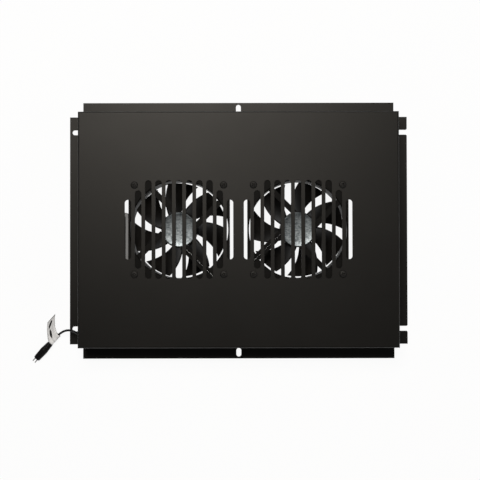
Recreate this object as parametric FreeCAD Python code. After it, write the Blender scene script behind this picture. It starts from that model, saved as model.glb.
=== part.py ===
import FreeCAD, Part
import math
import os

# Rack fan tray: a folded steel pan on four mounting flanges, with two 120 mm class axial fans
# bolted under its slotted panel, a wiring box beside the left fan and a short supply cord.
# Frame: origin at the centre of the flanges' underside, +X along the long side, +Z out of
# the panel. All sizes in millimetres.

# ---- folded pan ----
panel_x = 378.4            # panel length, over the folded walls
panel_y = 278.6            # panel width, over the folded walls
pan_h = 45.0               # flange underside to panel face
sheet = 1.2                # steel thickness
bend_in = 0.8              # inner bend radius
flange_w = 17.0            # flange width outside the walls
end_over = 0.8             # end flanges past the panel's corners
side_short = 0.5           # side flanges short of the panel's corners
corner_seam = 0.3          # open seam where two walls meet

# ---- flange fixings ----
fix_w = 6.0                # slot width, for M5 screws in cage nuts
fix_len = 10.5             # slot length, end to end
end_slot_inset = 7.5       # centre of the front and rear slots from the flange edge
side_slot_inset = 8.2      # centre of the side slots from the flange edge
side_slot_pitch = 240.0    # between the two fixings of one side
notch_flare = 1.15         # how much the open notches widen at each side of the mouth

# ---- vent slots ----
vent_w = 7.5
vent_pitch = 12.0
vent_full_rows = 3         # full-length slots each side of the middle one
vent_step = 24.0           # how much shorter the next slot is
vent_step_outer = 46.0     # how much shorter the outermost slot is
vent_over = 0.2            # slot ends past the fan's throat

# ---- fans ----
fan_gap_x = 140.0          # between the two fan axes
fan_size = 119.0
fan_depth = 38.0
fan_corner_r = 4.5
screw_inset = 7.0          # screw holes from the frame's sides
lug_t = 5.0                # flange plates of the fan frame
lug_hole_r = 2.2
throat_rim = 1.7           # frame's half width past the throat
barrel_wall = 3.2
mouth = 1.2                # chamfered lips of the throat
strut_w = 6.5
strut_h = 3.6
strut_off = 11.0           # how far each strut's line passes the fan's centre
strut_drop = 0.5           # struts below the fan's face
wire_strut_w = 8.6
wire_groove = 3.0
base_r = 21.0              # motor base
base_lip = 0.9
plate_gap = 0.1

# ---- impeller ----
blade_count = 7
tip_gap = 1.9
hub_r = 20.8
hub_wall = 2.2
hub_floor = 2.4
hub_run = 0.8              # hub rim below the motor base
hub_bottom = 3.0           # hub floor above the fan's lower face
blade_half = 17.75         # half of a blade's angle, in degrees
blade_sweep = 21.9         # how far the tip leans, in degrees
blade_root_h = 25.0
blade_tip_h = 21.0
blade_top = 3.0            # blades below the struts
blade_root_t = 2.0
blade_tip_t = 1.3
blade_camber = 0.09
left_phase = 56.2          # blade direction at the hub, in degrees
right_phase = 40.9

# ---- motor ----
shaft_r = 2.0
shaft_run = 0.03           # radial play of the shaft in its bearings
fit = 0.05                 # radial play of pieces pushed together
bearing_r = 5.2
bearing_len = 6.0
bearing_lip = 0.4          # chamfer at the bearings' mouths
tube_wall = 1.6
core_h = 11.0
pole_w = 5.6
shoe_t = 2.0
shoe_half = 34.0           # half of a pole shoe's angle, in degrees
coil_build = 2.6           # winding thickness on each side of a pole
air_gap = 0.5
cage_wall = 2.75
clip_t = 0.5
clip_r = 3.4
clip_slot = 2.4            # the clip's open side
groove_d = 0.35            # depth of the shaft's clip groove
boss_r = 5.0
boss_h = 4.0
boss_clear = 0.5           # from the boss to the bearing tube
core_clear = 2.0           # from the boss to the stator core

# ---- fan fixings ----
screw_r = 2.0
head_r = 4.25
head_h = 2.4
washer_r = 4.4
washer_t = 0.8
nut_af = 7.0
nut_t = 3.2
screw_tail = 1.2

# ---- wiring box ----
box_x = 27.0
box_y = 62.0
box_h = 19.0
box_wall = 1.8
box_corner = 3.0
box_gap = 0.4              # from the left fan's frame
box_top_y = 20.0           # its rear end
pad_t = 1.0
pad_inset = 6.0
lid_t = 2.0
box_screw_r = 1.5
screw_slot_w = 0.6
terminal_count = 3
terminal_l = 15.0
terminal_hole_r = 2.0
terminal_slot = 0.8        # between neighbouring terminals
terminal_edge = 4.0        # screw holes from the strip's sides

# ---- leads and cord ----
lead_r = 1.25
cord_r = 1.35
entry_pitch = 7.5          # between the lead entries of the box
entry_depth = 9.0          # how far the leads reach into the box
cord_y = -127.2            # where the cord passes the left wall
cord_z = 20.4
grommet_bore = 3.7
grommet_neck = 5.0
grommet_lip = 6.6
grommet_lip_t = 1.5
lane_y = -89.5             # the left fan's lead under the panel
lane_pitch = 5.0           # from one lead to the next in a clip
clip_w = 8.0
clip_wall = 1.3
clip_places = [-60.0, -88.0]
lead_past = 8.0            # how far the leads run straight past the frame's corner
lead_wave = 0.12           # how far a lead leaves its groove's middle line
supply_stub = 8.5          # the supply lead's straight run before the grommet

# ---- tag and plug ----
tag_t = 0.3
tag_loop_w = 6.6           # the loop of the tag round the cord
tag_loop_h = 4.6
tag_len = 14.6
tag_clear = 0.4            # from the plug
tag_sag = 0.15             # how far the loop hangs below the cord's axis
# flag stations as shares of the tag's length: back along the cord, out to the side and up
flag_stations = [(0.0, 0.0, 0.0), (0.08, 0.11, 0.02), (0.29, 0.38, 0.06), (0.51, 0.61, 0.12)]
flag_stations += [(0.71, 0.79, 0.2), (0.95, 0.97, 0.28), (1.2, 1.14, 0.37)]
plug_len = 25.7
plug_rear_w = 6.3
plug_mid_w = 9.2
plug_front_w = 7.9
plug_nose = 1.8            # the front's bevelled end
plug_nose_w = 5.4
plug_mid_at = 11.5
plug_flat = 0.82           # height over width
plug_ribs = 6
rib_w = 1.0
rib_gap = 0.8
rib_d = 0.4
pin_r = 0.55
pin_len = 4.3
pin_pitch = 3.3

# ---- derived places ----
bend_out = bend_in + sheet
half_x = panel_x / 2
half_y = panel_y / 2
under = pan_h - sheet
fan_top = under
fan_low = fan_top - fan_depth
screw_half = fan_size / 2 - screw_inset
throat_r = fan_size / 2 - throat_rim
lug_under = fan_top - lug_t
strut_top = fan_top - strut_drop
strut_low = strut_top - strut_h
hub_top = strut_low - hub_run
hub_low = fan_low + hub_bottom
tip_r = throat_r - tip_gap
tube_r = bearing_r + tube_wall
cage_r = hub_r - hub_wall - fit
core_r = cage_r - cage_wall - air_gap
core_low = hub_low + hub_floor + boss_h + core_clear
core_high = core_low + core_h
tube_low = hub_low + hub_floor + boss_h + boss_clear
grommet_x = -half_x + sheet / 2
box_right = -fan_gap_x / 2 - fan_size / 2 - box_gap
box_cx = box_right - box_x / 2
box_cy = box_top_y - box_y / 2
box_high = under - pad_t
box_low = box_high - box_h
box_front = box_top_y - box_y
entry_z = (box_low + box_high) / 2
entry_y = box_front + entry_depth
lead_z = under - lead_r - clip_wall
wire_z = strut_top - lead_r


def vec(x, y, z=0.0):
    return FreeCAD.Vector(x, y, z)


def box(x0, y0, z0, x1, y1, z1):
    return Part.makeBox(x1 - x0, y1 - y0, z1 - z0, vec(x0, y0, z0))


def rod(r, z0, z1, x=0.0, y=0.0):
    return Part.makeCylinder(r, z1 - z0, vec(x, y, z0))


def ring(r_out, r_in, z0, z1, x=0.0, y=0.0):
    return rod(r_out, z0, z1, x, y).cut(rod(r_in, z0, z1, x, y))


def joined(solids):
    """One solid from pieces that touch or overlap."""
    return solids[0].multiFuse(solids[1:]).removeSplitter()


def turned(shape, degrees):
    """A copy turned about the Z axis."""
    copy = shape.copy()
    copy.rotate(vec(0, 0), vec(0, 0, 1), degrees)
    return copy


def moved(shape, x, y=0.0, z=0.0):
    copy = shape.copy()
    copy.translate(vec(x, y, z))
    return copy


def obround(length, width, z0, z1, along_y=True):
    """A slot-shaped prism with round ends, centred on the origin."""
    reach = (length - width) / 2
    solids = [box(-width / 2, -reach, z0, width / 2, reach, z1)]
    solids += [rod(width / 2, z0, z1, 0.0, side * reach) for side in (-1, 1)]
    slot = joined(solids)
    return slot if along_y else turned(slot, 90)


def rounded_block(x, y, z0, z1, radius):
    """A block centred on the origin, with its upright edges rounded."""
    block = box(-x / 2, -y / 2, z0, x / 2, y / 2, z1)
    upright = [e for e in block.Edges if abs(e.Vertexes[0].Z - e.Vertexes[1].Z) > 1e-6]
    return block.makeFillet(radius, upright)


def save(name, shapes):
    """Write one node: a solid, or a group of separate solids."""
    solids = [solid for shape in shapes for solid in shape.Solids]
    node = solids[0] if len(solids) == 1 else Part.makeCompound(solids)
    if not node.isValid():
        raise ValueError(name + " is not a valid solid")
    node.exportStep(os.path.join("parts", name + ".step"))


# ---- the folded pan ----

def bend(centre_x, centre_z, length, quadrant):
    """A quarter bend about an axis parallel to Y, in one quadrant of its circle."""
    tube = Part.makeCylinder(bend_out, length, vec(centre_x, -length / 2, centre_z), vec(0, 1, 0))
    core = Part.makeCylinder(bend_in, length, vec(centre_x, -length / 2, centre_z), vec(0, 1, 0))
    side_x, side_z = quadrant
    low_x = centre_x + min(side_x, 0) * bend_out
    low_z = centre_z + min(side_z, 0) * bend_out
    corner = box(low_x, -length / 2, low_z, low_x + bend_out, length / 2, low_z + bend_out)
    return tube.cut(core).common(corner)


def folded_side(half, wall_len, flange_len):
    """The +X side under its top bend: wall, bend and outward flange."""
    wall = box(half - sheet, -wall_len / 2, bend_out, half, wall_len / 2, pan_h - bend_out)
    foot = bend(half + bend_in, bend_out, wall_len, (-1, -1))
    flange = box(half + bend_in, -flange_len / 2, 0, half + flange_w, flange_len / 2, sheet)
    return joined([wall, foot, flange])


def vent_lengths():
    """Each slot's place across the fan and its length."""
    full = 2 * (throat_r + vent_over)
    slots = [(n, full) for n in range(-vent_full_rows, vent_full_rows + 1)]
    for side in (-1, 1):
        slots.append((side * (vent_full_rows + 1), full - vent_step))
        slots.append((side * (vent_full_rows + 2), full - vent_step_outer))
    return [(n * vent_pitch, length) for n, length in slots]


def fan_centres():
    return [-fan_gap_x / 2, fan_gap_x / 2]


def screw_places():
    """Fan screw centres, relative to a fan's axis."""
    return [(i * screw_half, j * screw_half) for i in (-1, 1) for j in (-1, 1)]


def notch():
    """An open flange notch: round at its inner end, flared at the flange's edge."""
    inner = side_slot_inset + (fix_len - fix_w) / 2
    slot = rod(fix_w / 2, 0, sheet, -inner)
    slot = slot.fuse(box(-inner, -fix_w / 2, 0, 0, fix_w / 2, sheet))
    half = fix_w / 2
    corners = [vec(-notch_flare, half), vec(0, half + notch_flare)]
    corners += [vec(0, -half - notch_flare), vec(-notch_flare, -half), vec(-notch_flare, half)]
    flare = Part.Face(Part.makePolygon(corners)).extrude(vec(0, 0, sheet))
    return slot.fuse(flare)


def tray_panel():
    """The panel with its four top bends, vent slots and screw holes."""
    flat_x = half_x - bend_out
    flat_y = half_y - bend_out
    plate = box(-flat_x, -flat_y, under, flat_x, flat_y, pan_h)
    side = bend(flat_x, pan_h - bend_out, 2 * flat_y, (1, 1))
    end = bend(flat_y, pan_h - bend_out, 2 * flat_x, (1, 1))
    solid = joined([plate, side, turned(side, 180), turned(end, 90), turned(end, 270)])
    cutters = []
    for x in fan_centres():
        for offset, length in vent_lengths():
            cutters.append(moved(obround(length, vent_w, under, pan_h), x + offset))
        for i, j in screw_places():
            cutters.append(rod(lug_hole_r, under, pan_h, x + i, j))
    return solid.cut(Part.makeCompound(cutters))


def tray_sides():
    """The four folded walls, which carry on from the panel's bends, with their flanges."""
    side = folded_side(half_x, panel_y, panel_y - 2 * side_short)
    seams = 2 * (sheet + corner_seam)
    end = folded_side(half_y, panel_x - seams, panel_x + 2 * end_over)
    cutters = []
    end_y = half_y + flange_w - end_slot_inset
    side_x = half_x + flange_w - side_slot_inset
    for side_y in (-1, 1):
        cutters.append(moved(obround(fix_len, fix_w, 0, sheet), 0, side_y * end_y))
        y = side_y * side_slot_pitch / 2
        cutters.append(moved(obround(fix_len, fix_w, 0, sheet, False), -side_x, y))
        cutters.append(moved(notch(), half_x + flange_w, y))
    wall = vec(-half_x, cord_y, cord_z)
    cutters.append(Part.makeCylinder(grommet_neck + fit, sheet, wall, vec(1, 0, 0)))
    holes = Part.makeCompound(cutters)
    sides = [side, turned(side, 180), turned(end, 90), turned(end, 270)]
    return [solid.cut(holes) for solid in sides]


# ---- the fans ----

def strut_piece(u0, u1, width, z0, z1):
    """A bar along +X whose line passes the origin at the struts' offset."""
    return box(u0, -strut_off - width / 2, z0, u1, -strut_off + width / 2, z1)


def strut(width):
    """One strut, narrower on the side that meets the air first."""
    reach = math.sqrt((throat_r + barrel_wall / 2) ** 2 - strut_off ** 2)
    start = math.sqrt((base_r - base_lip) ** 2 - strut_off ** 2)
    y = -strut_off
    slope = width / 4
    outline = [vec(start, y - width / 2, strut_top), vec(start, y + width / 2, strut_top)]
    outline += [vec(start, y + width / 2, strut_top - strut_h / 2), vec(start, y + slope, strut_low)]
    outline += [vec(start, y - slope, strut_low), vec(start, y - width / 2, strut_top - strut_h / 2)]
    outline.append(outline[0])
    return Part.Face(Part.makePolygon(outline)).extrude(vec(reach - start, 0, 0))


def barrel_form(radius):
    """A round bar over the fan's depth, flattened where it meets the frame's sides."""
    return rod(radius, fan_low, fan_top).common(frame_plate())


def frame_plate():
    return rounded_block(fan_size, fan_size, fan_low, fan_top, fan_corner_r)


def fan_frame():
    """The frame's round barrel, with chamfered lips and a groove for the lead."""
    barrel = barrel_form(throat_r + barrel_wall).cut(rod(throat_r, fan_low, fan_top))
    lips = [e for e in barrel.Edges if is_throat_rim(e)]
    return barrel.makeChamfer(mouth, lips).cut(lead_groove())


def frame_lugs():
    """The frame's corners: two drilled plates at each, on the barrel's ends."""
    outside = frame_plate().cut(barrel_form(throat_r + barrel_wall))
    between = box(-fan_size, -fan_size, fan_low + lug_t, fan_size, fan_size, lug_under)
    holes = [rod(lug_hole_r, fan_low, fan_top, i, j) for i, j in screw_places()]
    return outside.cut(Part.makeCompound([between, lead_groove()] + holes)).Solids


def frame_struts():
    """The motor base on four offset struts, which end at the barrel's wall."""
    widths = [wire_strut_w, strut_w, strut_w, strut_w]
    struts = [turned(strut(w), 90 * n - 45) for n, w in enumerate(widths)]
    base = rod(base_r, strut_low, strut_top)
    spider = joined([base] + struts).common(rod(throat_r, strut_low, strut_top))
    recess = rod(base_r - base_lip, strut_top - base_lip, strut_top)
    bore = rod(tube_r + fit, strut_low, strut_top)
    return spider.cut(Part.makeCompound([recess, bore, lead_groove()]))


def lead_groove():
    """The channel in one strut and the frame's corner that the lead lies in."""
    floor = strut_top - 2 * lead_r - fit
    return turned(strut_piece(groove_start(), fan_size, wire_groove, floor, fan_top), -45)


def groove_start():
    """Where the lead comes out of the motor base, along its strut."""
    return math.sqrt(base_r ** 2 - (strut_off - lead_r) ** 2)


def is_throat_rim(edge):
    """The throat's circle at either face of the frame."""
    if not isinstance(edge.Curve, Part.Circle):
        return False
    at_face = min(abs(edge.CenterOfMass.z - fan_low), abs(edge.CenterOfMass.z - fan_top)) < 0.01
    return at_face and abs(edge.Curve.Radius - throat_r) < 0.01


def motor_plate():
    """The bare metal cap of the motor base, with a rolled rim."""
    radius = base_r - base_lip - plate_gap
    low = strut_top - base_lip
    cap = rod(radius, low, low + base_lip / 2)
    rim = ring(radius, radius - base_lip, low, strut_top)
    cap = joined([cap, rim])
    edges = [e for e in cap.Edges if abs(e.BoundBox.ZMin - strut_top) < 0.01]
    return cap.makeChamfer(base_lip / 4, edges)


def blade_section(distance, t):
    """A blade's thin cambered section, in a plane square to the blade's radius."""
    share = (distance - hub_r) / (tip_r - hub_r)
    half_angle = math.radians(blade_half)
    edge_r = distance / math.cos(half_angle)
    lean = -blade_sweep * (edge_r - hub_r) / (tip_r - hub_r)
    direction = math.radians(lean)
    out = vec(math.cos(direction), math.sin(direction))
    across = vec(-math.sin(direction), math.cos(direction))
    up = vec(0, 0, 1)
    half_chord = distance * math.tan(half_angle)
    height = blade_root_h + (blade_tip_h - blade_root_h) * share
    top = strut_low - blade_top
    low_end = out * distance - across * half_chord + up * (top - height)
    high_end = out * distance + across * half_chord + up * top
    chord = high_end - low_end
    normal = out.cross(chord).normalize()
    belly = (low_end + high_end) / 2 - normal * (chord.Length * blade_camber)
    half_t = normal * (t / 2)
    upper = Part.Arc(low_end + half_t, belly + half_t, high_end + half_t).toShape()
    lower = Part.Arc(high_end - half_t, belly - half_t, low_end - half_t).toShape()
    nose = Part.makeLine(low_end - half_t, low_end + half_t)
    tail = Part.makeLine(high_end + half_t, high_end - half_t)
    return Part.Wire([upper, tail, lower, nose])


def blade():
    """One swept blade, from inside the hub's wall to the tip circle."""
    root = hub_r - hub_wall * 0.7
    beyond = tip_r + 1.0
    steps = 4
    sections = []
    for n in range(steps + 1):
        share = n / steps
        t = blade_root_t + (blade_tip_t - blade_root_t) * share
        sections.append(blade_section(root + (beyond - root) * share, t))
    swept = Part.makeLoft(sections, True, False)
    return swept.common(rod(tip_r, fan_low, fan_top))


def impeller(phase):
    """Hub cup, floor, shaft boss and the ring of blades."""
    cup = rod(hub_r, hub_low, hub_top)
    foot = [e for e in cup.Edges if abs(e.BoundBox.ZMax - hub_low) < 0.01]
    cup = cup.makeChamfer(hub_floor / 2, foot)
    cup = cup.cut(rod(hub_r - hub_wall, hub_low + hub_floor, hub_top))
    one = blade()
    blades = [turned(one, n * 360 / blade_count) for n in range(blade_count)]
    boss = rod(boss_r, hub_low + hub_floor, hub_low + hub_floor + boss_h)
    wheel = joined([cup, boss] + blades)
    wheel = wheel.cut(rod(shaft_r, hub_low + hub_floor / 2, hub_top))
    return turned(wheel, phase)


# ---- the motor inside the hub ----

def shaft():
    """Steel shaft, pressed in the hub's boss, with a groove for its clip."""
    low = hub_low + hub_floor / 2
    high = strut_low + clip_t * 4
    pin = rod(shaft_r, low, high)
    groove_z = shaft_groove()
    return pin.cut(ring(shaft_r, shaft_r - groove_d, groove_z, groove_z + clip_t + fit))


def shaft_groove():
    """Underside of the clip's groove, just above the upper bearing."""
    return strut_low + clip_t


def shaft_clip():
    """Split retaining washer in the shaft's groove."""
    low = shaft_groove() + fit / 2
    washer = ring(clip_r, shaft_r - groove_d + fit, low, low + clip_t)
    return washer.cut(box(0, -clip_slot / 2, low, clip_r, clip_slot / 2, low + clip_t))


def bearing_tube():
    """Brass tube of the motor base, which carries bearings and stator."""
    return ring(tube_r, bearing_r, tube_low, strut_top - base_lip - plate_gap)


def bearings():
    """Two plain bearings with chamfered mouths, at the tube's ends."""
    solids = []
    for low in (tube_low, strut_low - bearing_len):
        sleeve = ring(bearing_r, shaft_r + shaft_run, low, low + bearing_len)
        mouths = [e for e in sleeve.Edges if is_circle(e, shaft_r + shaft_run)]
        solids.append(sleeve.makeChamfer(bearing_lip, mouths))
    return solids


def is_circle(edge, radius):
    return isinstance(edge.Curve, Part.Circle) and abs(edge.Curve.Radius - radius) < 0.001


def stator_core():
    """Laminated core: a collar on the tube, four poles and their curved shoes."""
    collar = rod(tube_r + fit + shoe_t, core_low, core_high)
    shoes = ring(core_r, core_r - shoe_t, core_low, core_high)
    wedges = [shoe_wedge(90 * n) for n in range(4)]
    shoes = shoes.common(joined(wedges))
    poles = box(-core_r + shoe_t / 2, -pole_w / 2, core_low, core_r - shoe_t / 2, pole_w / 2, core_high)
    core = joined([collar, poles, turned(poles, 90)] + shoes.Solids)
    return core.cut(rod(tube_r + fit, core_low, core_high))


def shoe_wedge(direction):
    reach = core_r * 2
    half = math.radians(shoe_half)
    corners = [vec(0, 0, core_low), vec(reach, -reach * math.tan(half), core_low)]
    corners += [vec(reach, reach * math.tan(half), core_low), vec(0, 0, core_low)]
    return turned(Part.Face(Part.makePolygon(corners)).extrude(vec(0, 0, core_h)), direction)


def windings():
    """Four coils, one round each pole."""
    inner = tube_r + fit + shoe_t + fit
    outer = core_r - shoe_t - fit
    wide = pole_w / 2 + coil_build
    coil = box(inner, -wide, core_low - coil_build, outer, wide, core_high + coil_build)
    along = [e for e in coil.Edges if e.BoundBox.XLength > 0.5 * (outer - inner)]
    coil = coil.makeFillet(coil_build * 0.7, along)
    half = pole_w / 2 + fit
    coil = coil.cut(box(inner, -half, core_low - fit, outer, half, core_high + fit))
    bore = rod(inner, core_low - 2 * coil_build, core_high + 2 * coil_build)
    shell = rod(core_r - shoe_t - fit, core_low - 2 * coil_build, core_high + 2 * coil_build)
    coil = coil.common(shell).cut(bore)
    return [turned(coil, 90 * n) for n in range(4)]


def rotor_cage():
    """Steel ring in the hub, which the stator's field drags round."""
    return ring(cage_r, cage_r - cage_wall, core_low - coil_build, core_high + coil_build)


# ---- fan fixings ----

def fan_screw():
    """Pan head screw with a cross recess, standing on the panel."""
    head = rod(head_r, pan_h, pan_h + head_h)
    crown = [e for e in head.Edges if abs(e.BoundBox.ZMin - pan_h - head_h) < 0.01]
    head = head.makeFillet(head_h / 2, crown)
    tail = lug_under - washer_t - nut_t - screw_tail
    arm = head_r * 0.5
    blade_w = head_r * 0.16
    floor = pan_h + head_h * 0.45
    cross = box(-arm, -blade_w, floor, arm, blade_w, pan_h + head_h)
    cross = cross.fuse(turned(cross, 90))
    return head.fuse(rod(screw_r, tail, pan_h)).removeSplitter().cut(cross)


def fan_washer():
    return ring(washer_r, screw_r + fit, lug_under - washer_t, lug_under)


def fan_nut():
    """Hexagon nut with a tapped bore."""
    corner_r = nut_af / math.sqrt(3)
    low = lug_under - washer_t - nut_t
    corners = [turned_point(corner_r, 60 * n, low) for n in range(7)]
    body = Part.Face(Part.makePolygon(corners)).extrude(vec(0, 0, nut_t))
    return body.cut(rod(screw_r + fit, low, low + nut_t))


def turned_point(radius, degrees, z):
    angle = math.radians(degrees)
    return vec(radius * math.cos(angle), radius * math.sin(angle), z)


def at_fan_screws(piece):
    """The piece at every screw of both fans."""
    return [moved(piece, x + i, j) for x in fan_centres() for i, j in screw_places()]


# ---- wiring box ----

def entry_places():
    """Lead entries across the box: supply, right fan, left fan."""
    return [box_cx - entry_pitch, box_cx, box_cx + entry_pitch]


def box_posts():
    """Screw posts in the two rear corners of the box."""
    inset = 3 * box_screw_r
    reach_x = box_x / 2 - inset
    reach_y = box_y / 2 - inset
    return [(box_cx + side * reach_x, box_cy + reach_y) for side in (-1, 1)]


def wiring_box():
    """Moulded box, open towards the floor, with screw posts and lead entries."""
    shell = rounded_block(box_x, box_y, box_low, box_high, box_corner)
    room_x = box_x - 2 * box_wall
    room_y = box_y - 2 * box_wall
    room = rounded_block(room_x, room_y, box_low, box_high - box_wall, box_corner - box_wall)
    shell = moved(shell.cut(room), box_cx, box_cy)
    whole = moved(rounded_block(box_x, box_y, box_low, box_high, box_corner), box_cx, box_cy)
    posts = [rod(box_screw_r + box_wall, box_low, box_high, x, y) for x, y in box_posts()]
    shell = joined([shell] + [post.common(whole) for post in posts])
    cuts = [rod(box_screw_r + fit, box_low, box_high - 2 * box_wall, x, y) for x, y in box_posts()]
    radii = [cord_r, lead_r, lead_r]
    for x, r in zip(entry_places(), radii):
        start = vec(x, box_front - box_wall, entry_z)
        cuts.append(Part.makeCylinder(r + fit, 3 * box_wall, start, vec(0, 1, 0)))
    return shell.cut(Part.makeCompound(cuts))


def box_lid():
    """Flat lid with a locating rim and countersunk screw seats."""
    cover = rounded_block(box_x, box_y, box_low - lid_t, box_low, box_corner)
    cover = moved(cover, box_cx, box_cy)
    cuts = []
    for x, y in box_posts():
        cuts.append(rod(box_screw_r + fit, box_low - lid_t, box_low, x, y))
        cuts.append(rod(2 * box_screw_r, box_low - lid_t, box_low - lid_t / 2, x, y))
    return cover.cut(Part.makeCompound(cuts))


def box_screws():
    """Two lid screws, heads sunk in their seats."""
    solids = []
    reach = 2 * box_screw_r
    half = screw_slot_w / 2
    slot_d = lid_t / 3
    for x, y in box_posts():
        head = rod(2 * box_screw_r - fit, box_low - lid_t, box_low - lid_t / 2, x, y)
        stem = rod(box_screw_r, box_low - lid_t / 2, box_low + box_h / 2, x, y)
        slit = moved(box(-reach, -half, 0, reach, half, slot_d), x, y, box_low - lid_t)
        solids.append(joined([head, stem]).cut(slit))
    return solids


def box_pad():
    """Adhesive foam between the box and the panel."""
    pad = rounded_block(box_x - pad_inset, box_y - pad_inset, box_high, under, box_corner)
    return moved(pad, box_cx, box_cy)


def terminals():
    """Terminal strip: one screw terminal in line with each lead entry."""
    long = entry_pitch * terminal_count
    high = box_high - box_wall
    low = entry_z - 3 * lead_r
    solid = box(-long / 2, 0, low, long / 2, terminal_l, high)
    cuts = []
    for n in range(terminal_count):
        x = (n - (terminal_count - 1) / 2) * entry_pitch
        for y in (terminal_edge, terminal_l - terminal_edge):
            cuts.append(rod(terminal_hole_r, low, low + lead_r, x, y))
    for n in range(1, terminal_count):
        x = (n - terminal_count / 2) * entry_pitch
        half = terminal_slot / 2
        cuts.append(box(x - half, 0, low, x + half, terminal_l, low + 2 * lead_r))
    return moved(solid.cut(Part.makeCompound(cuts)), box_cx, entry_y)


# ---- leads, cord, tag and plug ----

def route(name, points):
    """A wire of straight runs joined by tangent arcs as large as the runs allow."""
    edges = []
    radii = []
    start = points[0]
    for n in range(1, len(points) - 1):
        before = points[n - 1] - points[n]
        after = points[n + 1] - points[n]
        reach = 0.45 * min(before.Length, after.Length)
        turn = math.pi - before.getAngle(after)
        radii.append(reach / math.tan(turn / 2))
        in_at = points[n] + before * (reach / before.Length)
        out_at = points[n] + after * (reach / after.Length)
        bisector = (before * (1 / before.Length) + after * (1 / after.Length)).normalize()
        middle = points[n] + bisector * (radii[-1] / math.cos(turn / 2) - radii[-1])
        edges.append(Part.makeLine(start, in_at))
        edges.append(Part.Arc(in_at, middle, out_at).toShape())
        start = out_at
    edges.append(Part.makeLine(start, points[-1]))
    print(name, "radii", " ".join("%.1f" % r for r in radii))
    return Part.Wire(edges)


def tube(name, points, radius):
    """A round lead along a route, with its volume compared to section times length."""
    path = route(name, points)
    along = points[1] - points[0]
    section = Part.Wire(Part.makeCircle(radius, points[0], along))
    solid = path.makePipeShell([section], True, False)
    expected = math.pi * radius ** 2 * path.Length
    print(name, "length %.1f volume ratio %.4f" % (path.Length, solid.Volume / expected))
    return solid


def strut_point(centre_x, direction, along, aside=0.0):
    """A point in the wire strut's groove, at a distance along it."""
    angle = math.radians(direction)
    x = along * math.cos(angle) + (strut_off + aside) * math.sin(angle)
    y = along * math.sin(angle) - (strut_off + aside) * math.cos(angle)
    return vec(centre_x + x, y, wire_z)


def strut_route(centre_x, direction):
    """The lead's stretch in the strut, from the motor base to past the frame."""
    past = fan_size / 2 * math.sqrt(2) - strut_off + lead_past
    stretch = [strut_point(centre_x, direction, groove_start())]
    stretch.append(strut_point(centre_x, direction, past / 2, lead_wave))
    stretch.append(strut_point(centre_x, direction, past))
    return stretch


def left_lead_points():
    points = strut_route(-fan_gap_x / 2, -45)
    points += [vec(-19.5, -73.5, under - 2.0), vec(-25.0, -83.6, under - 2.4)]
    points += [vec(-36.0, -88.5, lead_z), vec(-49.0, lane_y, lead_z), vec(-100.0, lane_y, lead_z)]
    points += [vec(-118.0, -86.5, under - 3.3), vec(-130.0, -77.5, under - 5.5)]
    x = box_cx + entry_pitch
    points.append(vec(x + 0.8, -66.0, under - 8.2))
    return points + [vec(x, box_front - 13.0, entry_z), vec(x, entry_y, entry_z)]


def right_lead_points():
    points = strut_route(fan_gap_x / 2, -135)
    y = lane_y - lane_pitch
    points += [vec(0.5, -56.5, under - 1.9), vec(-1.5, -69.0, under - 2.2), vec(-6.0, -80.5, under - 2.4)]
    points += [vec(-14.5, -89.0, lead_z), vec(-27.0, -93.4, lead_z)]
    points += [vec(-45.0, y, lead_z), vec(-100.0, y, lead_z)]
    points += [vec(-120.5, -92.0, under - 3.5), vec(-135.5, -83.0, under - 5.8)]
    points.append(vec(box_cx + 1.3, -69.0, under - 8.5))
    return points + [vec(box_cx, box_front - 13.0, entry_z), vec(box_cx, entry_y, entry_z)]


def cord_points():
    """The free cord, from the left wall to the plug."""
    points = [vec(grommet_x, cord_y, cord_z), vec(-194.4, -123.6, 18.0)]
    points += [vec(-200.0, -121.2, 14.9), vec(-206.3, -120.5, 11.4), vec(-212.6, -122.1, 8.1)]
    return points + [vec(-218.5, -125.8, 5.6), vec(-224.2, -131.6, 4.9), vec(-229.5, -137.4, 4.6)]


def supply_points():
    """The cord's stretch inside the pan, from the wiring box to the left wall."""
    free = cord_points()
    x = box_cx - entry_pitch
    points = [vec(x, entry_y, entry_z), vec(x, box_front - 16.0, entry_z)]
    points += [vec(-152.6, -86.3, 31.5), vec(-153.2, -108.3, 29.3), vec(-156.8, -120.9, 27.8)]
    points += [vec(-163.6, -128.6, 26.6), vec(-172.6, -132.2, 25.2)]
    inward = (free[0] - free[1]).normalize()
    return points + [free[0] + inward * supply_stub, free[0]]


def grommet():
    """Rubber bushing in the left wall, with a lip on each side."""
    start = -half_x - grommet_lip_t
    length = sheet + 2 * grommet_lip_t
    axis = vec(1, 0, 0)
    body = Part.makeCylinder(grommet_neck, length, vec(start, cord_y, cord_z), axis)
    for x in (start, -half_x + sheet):
        lip = Part.makeCylinder(grommet_lip, grommet_lip_t, vec(x, cord_y, cord_z), axis)
        body = body.fuse(lip)
    body = body.removeSplitter()
    outer = [e for e in body.Edges if is_circle(e, grommet_lip)]
    faces = [start, start + length]
    outer = [e for e in outer if min(abs(e.CenterOfMass.x - x) for x in faces) < 0.01]
    body = body.makeChamfer(grommet_lip_t / 3, outer)
    return body.cut(Part.makeCylinder(grommet_bore, length, vec(start, cord_y, cord_z), axis))


def lead_clips():
    """Saddle clips that hold both fan leads against the panel's underside."""
    clips = []
    reach = lead_r + clip_wall
    for x in clip_places:
        far = lane_y - lane_pitch - reach
        block = box(x - clip_w / 2, far, lead_z - reach, x + clip_w / 2, lane_y + reach, under)
        low = [e for e in block.Edges if e.BoundBox.XLength > 1 and e.BoundBox.ZMax < lead_z]
        block = block.makeFillet(reach * 0.8, low)
        for y in (lane_y, lane_y - lane_pitch):
            start = vec(x - clip_w / 2, y, lead_z)
            block = block.cut(Part.makeCylinder(lead_r + fit, clip_w, start, vec(1, 0, 0)))
        clips.append(block)
    return clips


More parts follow.
